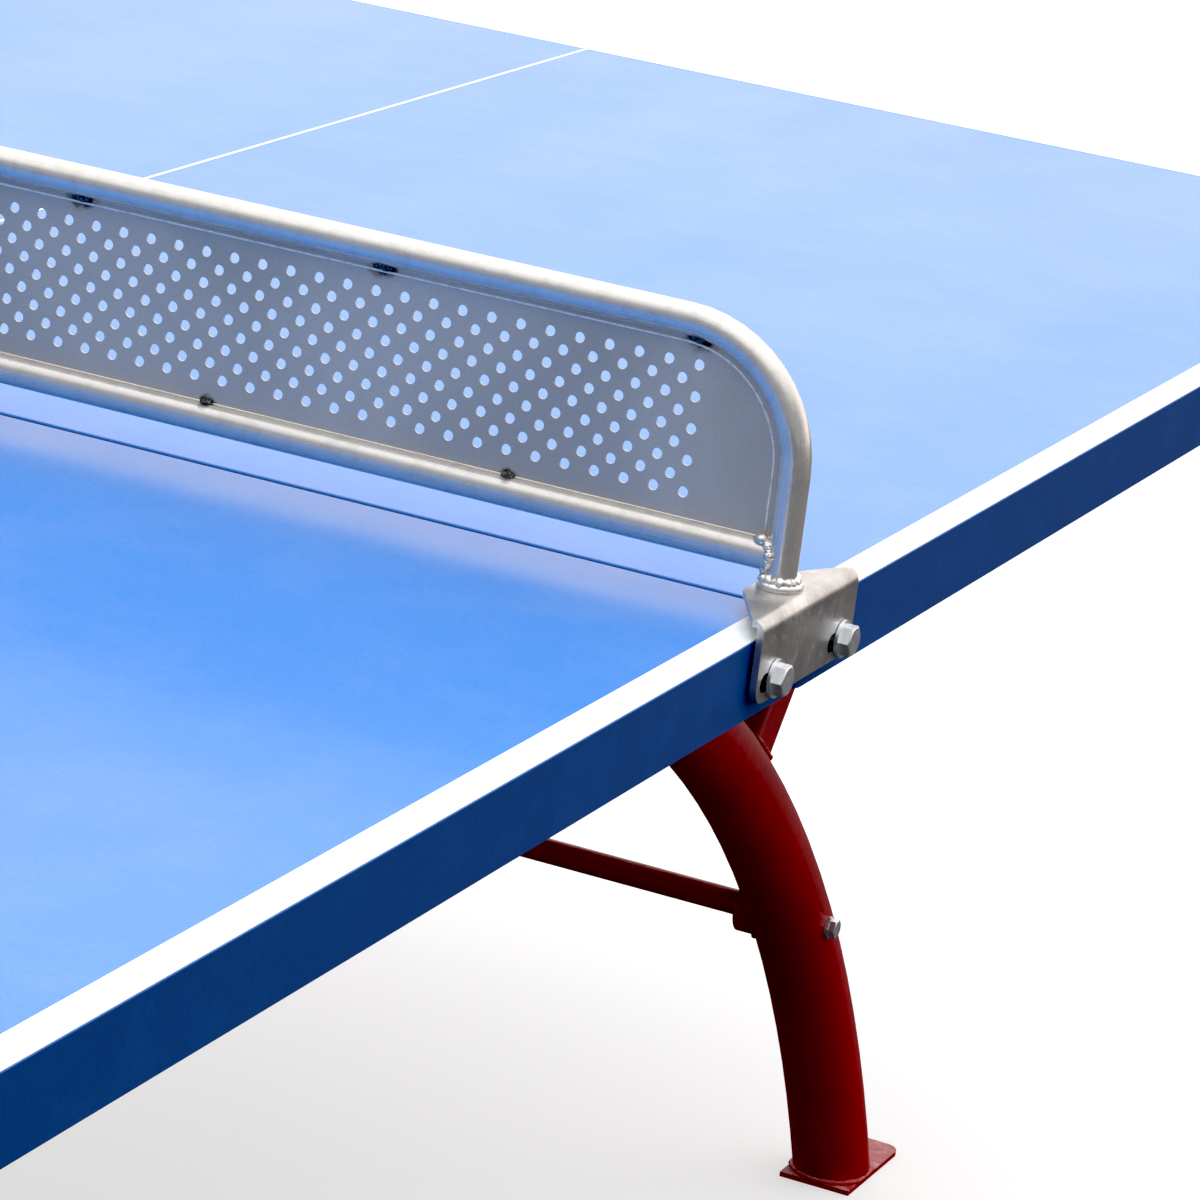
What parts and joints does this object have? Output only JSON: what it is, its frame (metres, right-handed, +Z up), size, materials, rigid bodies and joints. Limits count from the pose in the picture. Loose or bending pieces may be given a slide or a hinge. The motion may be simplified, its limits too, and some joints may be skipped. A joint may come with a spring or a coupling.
{
  "type": "table tennis table",
  "caption": "Outdoor table tennis table with two moulded half tops, arched tube legs with struts and cross bars, and a perforated steel net on slotted brackets.",
  "frame": {"origin": "on the ground, under the middle of the table", "axes": "+X across the width, +Y along the length, +Z up"},
  "size_m": [1.5544, 2.74, 0.918],
  "materials": {
    "moulded_top": "fine moulded texture, satin, with painted white lines",
    "stainless_steel": "satin stainless steel with weld marks",
    "zinc_steel": "bright zinc plating",
    "galvanised_steel": "dull galvanised steel",
    "red_paint": "dark red powder coat, semi gloss",
    "rubber": "black rubber"
  },
  "bodies": {
    "table": {"cross_bar_bolts": "zinc_steel", "cross_bar_inserts": "zinc_steel", "cross_bar_washers": "zinc_steel", "crown_bolts": "zinc_steel", "front_cross_bar": "red_paint", "front_half_top": "moulded_top", "front_inner_crossmember": "galvanised_steel", "front_left_bar_saddle": "red_paint", "front_left_foot": "red_paint", "front_left_rail": "galvanised_steel", "front_left_strut": "red_paint", "front_left_strut_plate": "red_paint", "front_middle_crossmember": "galvanised_steel", "front_outer_crossmember": "galvanised_steel", "front_right_bar_saddle": "red_paint", "front_right_foot": "red_paint", "front_right_rail": "galvanised_steel", "front_right_strut": "red_paint", "front_right_strut_plate": "red_paint", "joint_bolts": "zinc_steel", "joint_nuts": "zinc_steel", "joint_spacers": "rubber", "left_crown_plate": "red_paint", "left_crown_webs": "red_paint", "left_leg_arch": "red_paint", "net_bracket_bolts": "zinc_steel", "net_bracket_nuts": "zinc_steel", "net_bracket_spacers": "rubber", "net_bracket_washers": "zinc_steel", "rail_bolts": "zinc_steel", "rear_cross_bar": "red_paint", "rear_half_top": "moulded_top", "rear_inner_crossmember": "galvanised_steel", "rear_left_bar_saddle": "red_paint", "rear_left_foot": "red_paint", "rear_left_rail": "galvanised_steel", "rear_left_strut": "red_paint", "rear_left_strut_plate": "red_paint", "rear_middle_crossmember": "galvanised_steel", "rear_outer_crossmember": "galvanised_steel", "rear_right_bar_saddle": "red_paint", "rear_right_foot": "red_paint", "rear_right_rail": "galvanised_steel", "rear_right_strut": "red_paint", "rear_right_strut_plate": "red_paint", "right_crown_plate": "red_paint", "right_crown_webs": "red_paint", "right_leg_arch": "red_paint", "strut_plate_bolts": "zinc_steel"},
    "net": {"net_frame_tube": "stainless_steel", "net_bottom_rail": "stainless_steel", "net_panel": "stainless_steel", "left_net_bracket": "stainless_steel", "right_net_bracket": "stainless_steel"}
  },
  "joints": [
    {"name": "net_alignment_slide", "type": "slide", "parent": "table", "child": "net", "axis": [0, 1, 0], "range_m": [-0.005, 0.013]}
  ]
}
